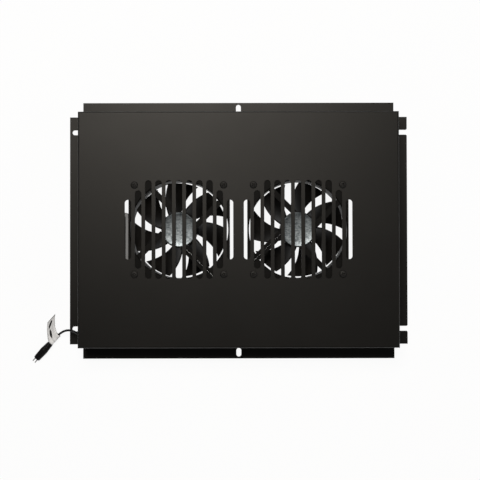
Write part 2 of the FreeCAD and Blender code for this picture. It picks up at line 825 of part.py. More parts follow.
def placed_on_cord(shape, origin, along):
    """A shape modelled along +X, moved to a point of the cord and turned along it."""
    copy = shape.copy()
    copy.Placement = FreeCAD.Placement(origin, FreeCAD.Rotation(vec(1, 0, 0), along))
    return copy


def ellipse_wire(width, height, x, z=0.0):
    """An ellipse square to the X axis, wider along Y than it is high."""
    wire = Part.Wire(Part.Ellipse(vec(0, 0), width / 2, height / 2).toShape())
    wire.Placement = FreeCAD.Placement(vec(x, 0, z), FreeCAD.Rotation(vec(1, 1, 1), 120))
    return wire


def plug_form(less):
    """The plug's tapered body along +X, thinner all round by the given depth."""
    stations = [(0, plug_rear_w), (plug_mid_at, plug_mid_w)]
    stations += [(plug_len - plug_nose, plug_front_w), (plug_len, plug_nose_w)]
    wires = [ellipse_wire(w - 2 * less, w * plug_flat - 2 * less, x) for x, w in stations]
    return Part.makeLoft(wires, True, True)


def plug_body():
    """Moulded plug: a flattened double taper with grip grooves and two pin holes."""
    body = plug_form(0)
    core = plug_form(rib_d)
    cuts = []
    for n in range(plug_ribs):
        slab = box(0, -plug_mid_w, -plug_mid_w, rib_gap, plug_mid_w, plug_mid_w)
        cuts.append(moved(slab, rib_w + n * (rib_w + rib_gap)).cut(core))
    cuts += [pin_form(side, pin_r + fit) for side in (-1, 1)]
    return body.cut(Part.makeCompound(cuts))


def pin_form(side, radius):
    """One contact pin, along +X, rooted in the body as deep as it stands out."""
    root = vec(plug_len - pin_len, side * pin_pitch / 2, 0)
    return Part.makeCylinder(radius, 2 * pin_len, root, vec(1, 0, 0))


def plug_pins():
    pins = []
    for side in (-1, 1):
        pin = pin_form(side, pin_r)
        tip = [e for e in pin.Edges if abs(e.BoundBox.XMin - plug_len - pin_len) < 0.01]
        pins.append(pin.makeChamfer(pin_r / 2, tip))
    return pins


def cord_tag():
    """Paper tag: a loose loop round the cord and a curved flag, in the plug's own axes."""
    start = -tag_len - tag_clear
    drop = -tag_sag
    outer = [ellipse_wire(tag_loop_w, tag_loop_h, x, drop) for x in (start, -tag_clear)]
    inner_w = tag_loop_w - 2 * tag_t
    inner_h = tag_loop_h - 2 * tag_t
    inner = [ellipse_wire(inner_w, inner_h, x, drop) for x in (start, -tag_clear)]
    loop = Part.makeLoft(outer, True, True).cut(Part.makeLoft(inner, True, True))
    middle = (start - tag_clear) / 2
    root = tag_loop_w / 2 - tag_t
    places = [vec(middle - back * tag_len, -root - aside * tag_len, drop + rise * tag_len)
              for back, aside, rise in flag_stations]
    ahead = places[1:] + places[-1:]
    behind = places[:1] + places[:-1]
    wires = [flag_section(p, b - a) for p, a, b in zip(places, behind, ahead)]
    flag = Part.makeLoft(wires, True, True)
    return joined([loop, flag])


def flag_section(place, run):
    """The flag's thin edge, parallel to the cord and square to the flag's run."""
    thick = vec(0, run.z, -run.y).normalize() * tag_t
    near = place + vec(tag_len / 2, 0)
    far = place - vec(tag_len / 2, 0)
    return Part.makePolygon([near, far, far + thick, near + thick, near])


# ---- the nodes ----

def write_fan(side, centre_x, frame_turn, phase):
    """All pieces of one fan, named after its side."""
    pieces = {
        "fan_frame": [turned(fan_frame(), frame_turn)],
        "frame_lugs": [turned(lug, frame_turn) for lug in frame_lugs()],
        "frame_struts": [turned(frame_struts(), frame_turn)],
        "motor_plate": [motor_plate()],
        "bearing_tube": [bearing_tube()],
        "bearings": bearings(),
        "stator_core": [stator_core()],
        "windings": windings(),
        "impeller": [impeller(phase)],
        "rotor_cage": [rotor_cage()],
        "shaft": [shaft()],
        "shaft_clip": [shaft_clip()],
    }
    for name, solids in pieces.items():
        save(side + "_" + name, [moved(solid, centre_x) for solid in solids])


def write_cord():
    """The free cord with its tag and plug."""
    points = cord_points()
    end = points[-1]
    along = points[-1] - points[-2]
    save("power_cord", [tube("power_cord", points, cord_r)])
    save("cord_tag", [placed_on_cord(cord_tag(), end, along)])
    save("plug_body", [placed_on_cord(plug_body(), end, along)])
    save("plug_pins", [placed_on_cord(pin, end, along) for pin in plug_pins()])


def main():
    os.makedirs("parts", exist_ok=True)
    save("tray_panel", [tray_panel()])
    save("tray_sides", tray_sides())
    write_fan("left", -fan_gap_x / 2, 0, left_phase)
    write_fan("right", fan_gap_x / 2, -90, right_phase)
    save("fan_screws", at_fan_screws(fan_screw()))
    save("fan_washers", at_fan_screws(fan_washer()))
    save("fan_nuts", at_fan_screws(fan_nut()))
    save("wiring_box", [wiring_box()])
    save("box_lid", [box_lid()])
    save("box_screws", box_screws())
    save("box_pad", [box_pad()])
    save("terminals", [terminals()])
    save("left_lead", [tube("left_lead", left_lead_points(), lead_r)])
    save("right_lead", [tube("right_lead", right_lead_points(), lead_r)])
    save("supply_lead", [tube("supply_lead", supply_points(), cord_r)])
    save("lead_clips", lead_clips())
    save("grommet", [grommet()])
    write_cord()


main()
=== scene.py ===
"""Finish of a two-fan rack cooling tray, as a small Blender add-on.

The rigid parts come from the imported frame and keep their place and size. This script gives every
part its material and builds what the solids leave plain: the fans' threaded fixings, the twisted
fan leads, the free cord, its paper tag and the moulded plug. All lengths are in metres.
"""
import bpy
import bmesh
import math
from mathutils import Euler, Matrix, Vector, noise


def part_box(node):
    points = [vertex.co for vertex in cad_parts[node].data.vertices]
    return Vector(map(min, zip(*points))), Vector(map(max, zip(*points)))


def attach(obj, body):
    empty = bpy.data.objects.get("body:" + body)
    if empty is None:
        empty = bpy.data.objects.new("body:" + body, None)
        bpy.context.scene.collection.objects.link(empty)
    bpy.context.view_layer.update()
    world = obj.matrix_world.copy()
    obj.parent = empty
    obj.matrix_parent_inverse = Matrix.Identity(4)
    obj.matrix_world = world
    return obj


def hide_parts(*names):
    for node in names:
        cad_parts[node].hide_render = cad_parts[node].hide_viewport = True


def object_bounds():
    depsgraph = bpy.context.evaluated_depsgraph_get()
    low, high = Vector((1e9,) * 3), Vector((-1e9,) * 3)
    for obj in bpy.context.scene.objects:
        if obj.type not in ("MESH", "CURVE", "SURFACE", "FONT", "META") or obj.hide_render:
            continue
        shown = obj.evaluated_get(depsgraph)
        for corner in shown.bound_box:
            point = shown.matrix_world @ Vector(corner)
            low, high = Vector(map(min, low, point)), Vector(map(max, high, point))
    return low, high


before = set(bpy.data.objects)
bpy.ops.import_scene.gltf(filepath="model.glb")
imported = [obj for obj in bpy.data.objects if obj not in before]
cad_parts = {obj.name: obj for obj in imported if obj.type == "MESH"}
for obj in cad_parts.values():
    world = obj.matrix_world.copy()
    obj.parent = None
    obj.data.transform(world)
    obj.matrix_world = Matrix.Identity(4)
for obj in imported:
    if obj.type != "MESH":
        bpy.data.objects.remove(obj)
cad_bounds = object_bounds()

bl_info = {
    "name": "Rack fan tray finish",
    "version": (1, 0, 0),
    "blender": (4, 5, 0),
    "location": "3D View > Sidebar > Fan Tray",
    "description": "Materials, fixings, leads, cord, tag and plug of a two-fan rack tray",
    "category": "Object",
}

MM = 0.001
ROUND = 48  # points round a small turned form
WARM_WHITE = (1.0, 0.965, 0.91, 1.0)
CAMERA_PLACE = (0.0011, -0.0281, 1.1034)
CAMERA_LEAN = (-0.85, 0.03, 0.11)  # degrees from straight down

# The tag's dark bars, in shares of its flag: middle and half length along it, place across it,
# lean and half width.
TAG_BARS = ((0.71, 0.19, 0.45, 0.69, 0.19), (0.23, 0.26, 0.41, -0.1, 0.13))

# Route points of the cord and the leads: the same places as the solids' routes.
LEAD_ROUTES = {
    "left_lead": (
        (-0.0646, -0.0209, 0.042), (-0.0492, -0.0366, 0.042), (-0.0204, -0.0652, 0.042),
        (-0.0195, -0.0735, 0.0418), (-0.025, -0.0836, 0.0414), (-0.036, -0.0885, 0.0413),
        (-0.049, -0.0895, 0.0413), (-0.1, -0.0895, 0.0413), (-0.118, -0.0865, 0.0405),
        (-0.13, -0.0775, 0.0383), (-0.1351, -0.066, 0.0356), (-0.1359, -0.055, 0.0333),
        (-0.1359, -0.033, 0.0333),
    ),
    "right_lead": (
        (0.0491, -0.0054, 0.042), (0.0334, -0.0208, 0.042), (0.0048, -0.0496, 0.042),
        (0.0005, -0.0565, 0.0419), (-0.0015, -0.069, 0.0416), (-0.006, -0.0805, 0.0414),
        (-0.0145, -0.089, 0.0413), (-0.027, -0.0934, 0.0413), (-0.045, -0.0945, 0.0413),
        (-0.1, -0.0945, 0.0413), (-0.1205, -0.092, 0.0403), (-0.1355, -0.083, 0.038),
        (-0.1421, -0.069, 0.0353), (-0.1434, -0.055, 0.0333), (-0.1434, -0.033, 0.0333),
    ),
}
CORD_ROUTE = (
    (-0.1886, -0.1272, 0.0204), (-0.1944, -0.1236, 0.0180), (-0.2000, -0.1212, 0.0149),
    (-0.2063, -0.1205, 0.0114), (-0.2126, -0.1221, 0.0081), (-0.2185, -0.1258, 0.0056),
    (-0.2242, -0.1316, 0.0049), (-0.2295, -0.1374, 0.0046),
)


# ---- shader arithmetic ----

class Value:
    """A number or colour worked out at each point of a surface. Arithmetic on it adds nodes."""

    def __init__(self, tree, socket):
        self.tree = tree
        self.socket = socket

    def maths(self, operation, *terms):
        node = self.tree.nodes.new("ShaderNodeMath")
        node.operation = operation
        for socket, term in zip(node.inputs, terms):
            feed(self.tree, socket, term)
        return Value(self.tree, node.outputs[0])

    def __add__(self, other):
        return self.maths("ADD", self, other)

    def __radd__(self, other):
        return self.maths("ADD", other, self)

    def __sub__(self, other):
        return self.maths("SUBTRACT", self, other)

    def __rsub__(self, other):
        return self.maths("SUBTRACT", other, self)

    def __mul__(self, other):
        return self.maths("MULTIPLY", self, other)

    def __pow__(self, other):
        return self.maths("POWER", self, other)

    def __abs__(self):
        return self.maths("ABSOLUTE", self)

    def ripple(self):
        """A sine wave along the value, from 0 to 1."""
        return self.maths("SINE", self) * 0.5 + 0.5

    def larger(self, other):
        return self.maths("MAXIMUM", self, other)

    def between(self, low, high):
        """Rises smoothly from 0 at low to 1 at high."""
        node = self.tree.nodes.new("ShaderNodeMapRange")
        node.interpolation_type = "SMOOTHSTEP"
        for name, term in (("Value", self), ("From Min", low), ("From Max", high)):
            feed(self.tree, node.inputs[name], term)
        return Value(self.tree, node.outputs[0])


def feed(tree, socket, term):
    """Puts a plain value on a socket, or links a worked-out one to it."""
    if isinstance(term, Value):
        tree.links.new(term.socket, socket)
    else:
        socket.default_value = term


class Finish:
    """One procedural material. Constants go straight on the shader's own sockets."""

    def __init__(self, name, **constants):
        self.material = bpy.data.materials.new(name)
        self.material.use_nodes = True
        self.tree = self.material.node_tree
        self.surface = self.tree.nodes["Principled BSDF"]
        for socket, value in constants.items():
            self.surface.inputs[socket.replace("_", " ")].default_value = value

    def add(self, kind, settings=None, inputs=None, output=0):
        """Any node but a Math node: its type, its settings, then its sockets' values."""
        node = self.tree.nodes.new("ShaderNode" + kind)
        for name, value in (settings or {}).items():
            setattr(node, name, value)
        for name, value in (inputs or {}).items():
            feed(self.tree, node.inputs[name], value)
        return Value(self.tree, node.outputs[output])

    def place(self, centre=(0.0, 0.0, 0.0), scale=(1.0, 1.0, 1.0)):
        """Object coordinates about a centre, in metres times the scale."""
        where = self.add("TexCoord", output="Object")
        inputs = {"Vector": where, "Location": centre, "Scale": tuple(1 / s for s in scale)}
        return self.add("Mapping", {"vector_type": "TEXTURE"}, inputs)

    def axes(self, vector):
        """The three parts of a vector."""
        node = self.tree.nodes.new("ShaderNodeSeparateXYZ")
        feed(self.tree, node.inputs[0], vector)
        return [Value(self.tree, output) for output in node.outputs]

    def grain(self, size, detail=3.0, roughness=0.55, where=None):
        """Noise whose features are about the given size across, from 0 to 1."""
        inputs = {"Scale": 1 / size, "Detail": detail, "Roughness": roughness,
                  "Vector": where or self.place()}
        return self.add("TexNoise", None, inputs)

    def blend(self, factor, first, second):
        """A colour between two colours."""
        return self.add("Mix", {"data_type": "RGBA"}, {"Factor": factor, 6: first, 7: second}, 2)

    def around(self, centre):
        """The distance from an upright axis through a centre."""
        x, y, _ = self.axes(self.place(centre))
        return (x * x + y * y) ** 0.5

    def worn_edge(self, radius, low, high):
        """The normal with its edges rounded, and how far each point is on an edge, from 0 to 1."""
        soft = self.add("Bevel", {"samples": 4}, {"Radius": radius})
        sharp = self.add("NewGeometry", output="Normal")
        turn = self.add("VectorMath", {"operation": "DISTANCE"}, {0: soft, 1: sharp}, "Value")
        return soft, turn.between(low, high)

    def relief(self, height, depth, normal=None):
        """A bump whose height of 1 stands the given depth above 0."""
        inputs = {"Height": height, "Distance": depth}
        if normal:
            inputs["Normal"] = normal
        return self.add("Bump", None, inputs)

    def show(self, **values):
        """Feeds worked-out values to the shader, and gives the material."""
        for name, value in values.items():
            feed(self.tree, self.surface.inputs[name.replace("_", " ")], value)
        return self.material


def rgb(red, green, blue):
    return (red, green, blue, 1.0)


def grey(level):
    return rgb(level, level, level)


# ---- materials ----

def powder_coat():
    """Satin black powder coat on folded steel: orange peel, dust and paler edges."""
    coat = Finish("powder_coat", Specular_IOR_Level=0.21, Specular_Tint=WARM_WHITE)
    soft, edge = coat.worn_edge(0.45 * MM, 0.12, 0.75)
    peel = coat.grain(1.3 * MM, 2.0)
    fine = coat.grain(0.35 * MM, 2.0)
    cloud = coat.grain(85 * MM, 3.0)
    dusty = coat.grain(30 * MM, 2.0).between(0.4, 0.7)
    dust = coat.grain(0.8 * MM, 1.0).between(0.71, 0.8) * dusty
    ground = coat.blend(cloud, rgb(0.003, 0.0028, 0.0026), rgb(0.0046, 0.0043, 0.004))
    ground = coat.blend(edge * 0.1, ground, rgb(0.014, 0.0133, 0.0122))
    ground = coat.blend(dust * 0.4, ground, rgb(0.02, 0.0195, 0.0185))
    rough = 0.425 + (cloud - 0.5) * 0.09 + (fine - 0.5) * 0.06 - edge * 0.06
    bump = coat.relief(peel * 0.75 + fine * 0.25, 0.035 * MM, soft)
    return coat.show(Base_Color=ground, Roughness=rough, Normal=bump)


def cast_black():
    """Black-painted die-cast fan frame, a little grainy, with rubbed edges."""
    enamel = Finish("cast_black", Specular_IOR_Level=0.04)
    soft, edge = enamel.worn_edge(0.35 * MM, 0.15, 0.8)
    pits = enamel.grain(0.5 * MM, 4.0, 0.65)
    cloud = enamel.grain(22 * MM)
    ground = enamel.blend(cloud, rgb(0.004, 0.0037, 0.0033), rgb(0.009, 0.0084, 0.0076))
    ground = enamel.blend(edge * 0.5, ground, rgb(0.012, 0.012, 0.0117))
    rough = 0.5 + (pits - 0.5) * 0.25
    bump = enamel.relief(pits, 0.06 * MM, soft)
    return enamel.show(Base_Color=ground, Roughness=rough, Normal=bump)


def nylon_black(centre):
    """Glass-filled nylon of an impeller, with flow lines that run round its axis."""
    nylon = Finish("impeller_nylon", Specular_IOR_Level=0.1)
    ring_width, waviness = 0.9 * MM, 5.0
    flow = nylon.grain(6 * MM, 4.0, 0.6, nylon.place(centre, (1.0, 1.0, 0.3)))
    speck = nylon.grain(0.4 * MM, 2.0)
    rings = (nylon.around(centre) * (1 / ring_width) + flow * waviness).ripple()
    ground = nylon.blend(flow, rgb(0.0066, 0.0059, 0.0052), rgb(0.0122, 0.011, 0.0098))
    rough = 0.42 + (flow - 0.5) * 0.2 + (speck - 0.5) * 0.08
    height = speck * 0.7 + rings * 0.3
    return nylon.show(Base_Color=ground, Roughness=rough, Normal=nylon.relief(height, 0.02 * MM))


def spun_aluminium(centre):
    """Bare motor cap, turned on a lathe: fine rings, a soft bloom and wiped streaks."""
    metal = Finish("spun_aluminium", Metallic=0.85, Specular_IOR_Level=0.5)
    cap_radius, dome, rolled_edge = 19 * MM, 30.0, 22.0
    around = metal.around(centre)
    share = around * (1 / cap_radius)
    ring = metal.grain(0.5 * MM, 4.0, 0.7, metal.add("CombineXYZ", None, {"X": around}))
    bloom = metal.grain(3.5 * MM, 4.0, 0.65)
    streak = metal.grain(3 * MM, 4.0, 0.6, metal.place(centre, (0.6, 5.0, 1.0)))
    dark, light, wiped = rgb(0.064, 0.074, 0.079), rgb(0.152, 0.169, 0.178), rgb(0.25, 0.272, 0.283)
    ground = metal.blend(bloom.between(0.38, 0.62), dark, light)
    ground = metal.blend(streak.between(0.48, 0.62) * 0.7, ground, wiped)
    rough = 0.36 + (ring - 0.5) * 0.2 + (streak - 0.5) * 0.2
    height = ring + share ** 2.0 * dome + share ** 7.0 * rolled_edge
    return metal.show(Base_Color=ground, Roughness=rough, Normal=metal.relief(height, 0.012 * MM))


def plated_metal(name, dark, light, grain_size, roughness):
    """Bare or plated metal with grain, stains and a fine machined bump."""
    metal = Finish(name, Metallic=1.0)
    fine = metal.grain(grain_size, 4.0, 0.6)
    stain = metal.grain(9 * grain_size, 2.0)
    ground = metal.blend(stain, dark, light)
    rough = roughness + (fine - 0.5) * 0.2
    return metal.show(Base_Color=ground, Roughness=rough, Normal=metal.relief(fine, 0.01 * MM))


def laminated_steel():
    """Stacked electrical steel: a dark joint between every two sheets."""
    steel = Finish("laminated_steel", Metallic=1.0)
    sheet = 0.5 * MM
    z = steel.axes(steel.place())[2]
    sheets = (z * (math.tau / sheet)).ripple()
    fine = steel.grain(0.6 * MM)
    ground = steel.blend(sheets, grey(0.1), rgb(0.4, 0.4, 0.41))
    height = sheets * 0.8 + fine * 0.2
    return steel.show(Base_Color=ground, Roughness=0.45 + fine * 0.15,
                      Normal=steel.relief(height, 0.04 * MM))


def wound_copper():
    """Enamelled copper wire, turn beside turn, with painted shade in the grooves between turns."""
    copper = Finish("wound_copper", Metallic=0.9, Coat_Roughness=0.15)
    wire = 0.35 * MM
    x, y, z = copper.axes(copper.place())
    turns = ((x + y + z) * (math.tau / wire)).ripple()
    tone = copper.grain(2 * MM)
    # painted shade: the colour darkens where the ripple's bump is low, in the grooves between turns
    ground = copper.blend(turns * 0.7 + tone * 0.3, rgb(0.22, 0.06, 0.02), rgb(0.72, 0.28, 0.1))
    return copper.show(Base_Color=ground, Roughness=0.25 + tone * 0.15,
                       Normal=copper.relief(turns, 0.05 * MM))


def moulded(name, dark, light, texture, depth, roughness, specular=0.4):
    """Moulded plastic or rubber with a spark-eroded texture of the given grain size."""
    plastic = Finish(name, Specular_IOR_Level=specular)
    fine = plastic.grain(texture, 3.0, 0.6)
    cloud = plastic.grain(25 * texture, 2.0)
    ground = plastic.blend(cloud, dark, light)
    rough = roughness + (fine - 0.5) * 0.16 + (cloud - 0.5) * 0.08
    return plastic.show(Base_Color=ground, Roughness=rough, Normal=plastic.relief(fine, depth))


def foam():
    """Open-cell foam tape, with painted shade in its pores."""
    pad = Finish("foam", Specular_IOR_Level=0.2)
    cells = pad.add("TexVoronoi", None, {"Vector": pad.place(), "Scale": 1 / (0.7 * MM)})
    # painted shade: the colour darkens where the cells' bump sinks, in the pores
    ground = pad.blend(cells, grey(0.006), grey(0.05))
    return pad.show(Base_Color=ground, Roughness=0.85 + cells * 0.1,
                    Normal=pad.relief(cells, 0.2 * MM))


def tag_paper():
    """Coated paper: fibres, creases along it, painted shade in them and at two edges, plain dark bars.
    """
    paper = Finish("tag_paper", Specular_IOR_Level=0.25, Subsurface_Weight=0.15,
                   Subsurface_Radius=(0.002, 0.002, 0.002), Subsurface_Scale=0.2)
    where = paper.add("TexCoord", output="UV")
    across, up, _ = paper.axes(where)
    fibre = paper.grain(0.5 * MM, 5.0, 0.65)
    drawn_out = {"Vector": where, "Scale": (1.0, 5.0, 1.0)}
    streak = paper.grain(0.16, 3.0, 0.6,
                         paper.add("Mapping", {"vector_type": "TEXTURE"}, drawn_out))
    # painted shade in the creases: the colour goes from near white to grey along the streaks
    ground = paper.blend(streak.between(0.3, 0.7), rgb(0.6, 0.6, 0.605), rgb(0.93, 0.93, 0.935))
    wave = (fibre - 0.5) * 0.03
    # painted shade: the colour greys along the curled side edge next to the plug and along the flag's
    # end
    side_shade_width, end_shade_from = 0.06, 0.95
    painted_edge_shade = (side_shade_width - across).larger(0.0) + (up - end_shade_from).larger(0.0)
    ground = paper.blend(painted_edge_shade.between(0.0, 0.02) * 0.6, ground, grey(0.12))
    for middle, reach, at, lean, half in TAG_BARS:
        along = up - middle
        width = (1.0 - (along * (1 / reach)) ** 2.0).larger(0.0) * half
        edge = width - abs(across - at - along * lean) + wave
        ground = paper.blend(edge.between(0.0, 0.015), ground, grey(0.015))
    rough = 0.6 + (fibre - 0.5) * 0.2
    height = fibre * 0.3 + streak * 0.7
    return paper.show(Base_Color=ground, Roughness=rough, Normal=paper.relief(height, 0.05 * MM))


# ---- meshes ----

def linked(name, data):
    """An object of the given data, in the scene."""
    made = bpy.data.objects.new(name, data)
    bpy.context.scene.collection.objects.link(made)
    return made


def new_piece(name, points, faces, material, smooth=True):
    """A mesh object at the origin, with its place in its points."""
    mesh = bpy.data.meshes.new(name)
    mesh.from_pydata([tuple(p) for p in points], [], faces)
    mesh.polygons.foreach_set("use_smooth", [smooth] * len(mesh.polygons))
    mesh.materials.append(material)
    mesh.update()
    return linked(name, mesh)


def grid_faces(rows, columns, closed=False, start=0):
    """Quads of a grid of points written row by row, with its columns closed or open."""
    faces = []
    for row in range(rows - 1):
        for column in range(columns if closed else columns - 1):
            after = (column + 1) % columns
            low, high = start + row * columns, start + (row + 1) * columns
            faces.append((low + column, low + after, high + after, high + column))
    return faces


def tube_faces(rows, columns, start=0):
    """A closed grid of points with a cap on its first row and on its last."""
    first = range(start, start + columns)
    last = range(start + (rows - 1) * columns, start + rows * columns)
    return grid_faces(rows, columns, True, start) + [tuple(reversed(first)), tuple(last)]


def circle_points(radius, z, count):
    angles = (n * math.tau / count for n in range(count))
    return [Vector((radius * math.cos(a), radius * math.sin(a), z)) for a in angles]


def turned_form(profile, count):
    """Points and faces of a profile of radii and heights, turned about Z and capped."""
    points = [p for radius, z in profile for p in circle_points(radius, z, count)]
    return points, tube_faces(len(profile), count)


def baked(piece):
    """The piece with its modifiers applied, in a mesh of its own."""
    graph = bpy.context.evaluated_depsgraph_get()
    mesh = bpy.data.meshes.new_from_object(piece.evaluated_get(graph), depsgraph=graph)
    piece.modifiers.clear()
    piece.data = mesh
    return piece


def carve(piece, tool, operation="DIFFERENCE"):
    """Takes the tool's form out of the piece, or keeps what both share, and deletes the tool."""
    modifier = piece.modifiers.new("carve", "BOOLEAN")
    modifier.operation = operation
    modifier.solver = "EXACT"
    modifier.object = tool
    baked(piece)
    bpy.data.objects.remove(tool)


def eased(piece, width):
    """Rounds the piece's sharp edges."""
    modifier = piece.modifiers.new("ease", "BEVEL")
    modifier.width = width
    modifier.segments = 2
    modifier.limit_method = "ANGLE"
    modifier.angle_limit = math.radians(35)
    return baked(piece)


def line_of(name, route):
    """The smooth line of a route, read from its own NURBS spline."""
    curve = route_curve(name, route, 0.0)
    graph = bpy.context.evaluated_depsgraph_get()
    mesh = bpy.data.meshes.new_from_object(curve.evaluated_get(graph), depsgraph=graph)
    points = [v.co.copy() for v in mesh.vertices]
    bpy.data.objects.remove(curve)
    return points


def route_curve(name, route, radius):
    """A NURBS curve with the route's points as its control points."""
    data = bpy.data.curves.new(name, "CURVE")
    data.dimensions = "3D"
    data.bevel_depth = radius
    data.bevel_resolution = 6
    data.use_fill_caps = radius > 0
    data.resolution_u = 24
    spline = data.splines.new("NURBS")
    spline.points.add(len(route) - 1)
    for point, place in zip(spline.points, route):
        point.co = (*place, 1.0)
    spline.order_u = 3
    spline.use_endpoint_u = True
    return linked(name, data)


# ---- the nodes of the frame ----

def paint(material, *nodes):
    """Gives CAD nodes a material."""
    for name in nodes:
        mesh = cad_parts[name].data
        mesh.materials.clear()
        mesh.materials.append(material)


def middle_of(node):
    low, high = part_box(node)
    return (Vector(low) + Vector(high)) / 2


def both(part):
    return ["left_" + part, "right_" + part]


# ---- settings ----

class FanSettings(bpy.types.PropertyGroup):
    cap_roll: bpy.props.FloatProperty(
        name="Cap rim", description="Radius of the motor cap's rolled rim", default=0.00035,
        unit="LENGTH")
    cap_dish: bpy.props.FloatProperty(
        name="Cap dish", description="How deep the motor cap's face sinks to its middle",
        default=0.0005, unit="LENGTH")


class LeadSettings(bpy.types.PropertyGroup):
    core_radius: bpy.props.FloatProperty(
        name="Core radius", description="Outer radius of one insulated core", default=0.0006,
        unit="LENGTH")
    twist: bpy.props.FloatProperty(
        name="Twist", description="Length of one turn of the pair", default=0.014, unit="LENGTH")


class FixingSettings(bpy.types.PropertyGroup):
    screw_pitch: bpy.props.FloatProperty(
        name="Screw pitch", description="Between the screws of one fan", default=0.105, unit="LENGTH")
    head_radius: bpy.props.FloatProperty(
        name="Head radius", description="Radius of a pan head", default=0.00425, unit="LENGTH")
    head_height: bpy.props.FloatProperty(
        name="Head height", description="Height of a pan head", default=0.0024, unit="LENGTH")
    shank_radius: bpy.props.FloatProperty(
        name="Shank radius", description="Outer radius of the thread", default=0.002, unit="LENGTH")
    thread_pitch: bpy.props.FloatProperty(
        name="Thread pitch", description="Rise of one turn", default=0.0007, unit="LENGTH")
    thread_depth: bpy.props.FloatProperty(
        name="Thread depth", description="Ridge to root", default=0.0003, unit="LENGTH")
    seed: bpy.props.IntProperty(
        name="Seed", description="Sets how far each screw happens to be turned", default=7)


class CordSettings(bpy.types.PropertyGroup):
    radius: bpy.props.FloatProperty(
        name="Cord radius", description="Outer radius of the cord's sheath",
        default=0.00135, unit="LENGTH")
    length: bpy.props.FloatProperty(
        name="Cord length", description="From the wall to the plug", default=0.0518, unit="LENGTH")
    plug_length: bpy.props.FloatProperty(
        name="Plug length", description="Without its pins", default=0.0253, unit="LENGTH")
    rear: bpy.props.FloatProperty(
        name="Rear width", description="Across the plug at the cord", default=0.0072, unit="LENGTH")
    widest: bpy.props.FloatProperty(
        name="Greatest width", description="Across the plug's shoulders", default=0.0093, unit="LENGTH")
    widest_at: bpy.props.FloatProperty(
        name="Shoulders at", description="Share of the plug's length from the cord",
        default=0.447, min=0.0, max=1.0, subtype="FACTOR")
    front: bpy.props.FloatProperty(
        name="Front width", description="Across the plug behind its nose", default=0.0081, unit="LENGTH")
    nose: bpy.props.FloatProperty(
        name="Nose", description="Length of the bevelled nose", default=0.0012, unit="LENGTH")
    tip: bpy.props.FloatProperty(
        name="Nose width", description="Across the nose's flat end", default=0.0062, unit="LENGTH")
    flat: bpy.props.FloatProperty(
        name="Flatness", description="Height over width", default=0.82, min=0.1, max=1.0,
        subtype="FACTOR")
    ribs: bpy.props.IntProperty(
        name="Ribs", description="Grip ribs at the cord's end", default=6, min=0)
    rib_pitch: bpy.props.FloatProperty(
        name="Rib pitch", description="From one rib to the next", default=0.0018, unit="LENGTH")
    rib_depth: bpy.props.FloatProperty(
        name="Rib depth", description="How deep the grooves between ribs are", default=0.0003,
        unit="LENGTH")


class TagSettings(bpy.types.PropertyGroup):
    length: bpy.props.FloatProperty(
        name="Tag length", description="Along the cord", default=0.0146, unit="LENGTH")
    gap: bpy.props.FloatProperty(
        name="Gap", description="Between the tag and the plug", default=0.0004, unit="LENGTH")
    thickness: bpy.props.FloatProperty(
        name="Paper thickness", description="Of one ply", default=0.00014, unit="LENGTH")
    crumple: bpy.props.FloatProperty(
        name="Crumple", description="How far the paper is out of true", default=0.0004,
        unit="LENGTH")
    curl: bpy.props.FloatProperty(
        name="Curl", description="How far the edge next to the plug bends down", default=0.0026,
        unit="LENGTH")
    lip: bpy.props.FloatProperty(
        name="Lip", description="How far from its end the flag bends up", default=0.0015,
        unit="LENGTH")
    curl_share: bpy.props.FloatProperty(
        name="Curl width", description="Share of the strip's width that curls", default=0.2,
        min=0.01, max=1.0, subtype="FACTOR")


class StageSettings(bpy.types.PropertyGroup):
    lens: bpy.props.FloatProperty(
        name="Lens", description="Focal length in mm on a 36 mm sensor", default=67.6)
    key_power: bpy.props.FloatProperty(
        name="Key power", description="Watts of the large light", default=22.0, min=0.0)
    fill_power: bpy.props.FloatProperty(
        name="Fill power", description="Watts of the low lights", default=5.0, min=0.0)
    floor_white: bpy.props.FloatProperty(
        name="Floor white", description="Share of the floor that is plain white", default=0.93,
        min=0.0, max=1.0, subtype="FACTOR")


# ---- fan fixings ----

def pan_screw(values, material):
    """A cross-recessed pan head screw, its seat at z = 0."""
    low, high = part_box("fan_screws")
    radius, height = values.head_radius, values.head_height
    length = high[2] - low[2] - height
    seat, seat_ease, rim, flat, steps = radius * 0.9, 0.1 * MM, height * 0.3, 0.02 * MM, 9
    profile = [(seat, 0.0), (radius, seat_ease), (radius, rim)]
    for n in range(1, steps + 1):
        angle = n / steps * math.pi / 2
        profile.append((radius * math.cos(angle) + flat,
                        rim + (height - rim) * math.sin(angle)))
    head = new_piece("head", *turned_form(profile, ROUND), material)
    carve(head, cross_recess(reach=radius * 0.55, half_width=radius * 0.17, top=height,
                             depth=height * 0.7, material=material))
    eased(head, 0.06 * MM)
    shank = threaded_shank(values, length, material)
    return merged("pan_screw", [head, shank], material)


def cross_recess(reach, half_width, top, depth, material):
    """The tapered cross of a driver's tip, to be cut from a head."""
    points = []
    faces = []
    foot, mouth = (top - depth, 0.35), (top + 0.5 * MM, 1.1)  # height, and share of the full size
    for turn in (0.0, math.pi / 2):
        faces += tube_faces(2, 4, len(points))
        spin = Matrix.Rotation(turn, 4, "Z")
        for z, share in (foot, mouth):
            x, y = reach * share, half_width * (0.6 + 0.4 * share)
            corners = ((-x, -y), (x, -y), (x, y), (-x, y))
            points += [spin @ Vector((a, b, z)) for a, b in corners]
    bars = new_piece("recess", points, faces, material)
    modifier = bars.modifiers.new("join", "REMESH")
    modifier.mode = "VOXEL"
    modifier.voxel_size = half_width * 0.25
    return baked(bars)


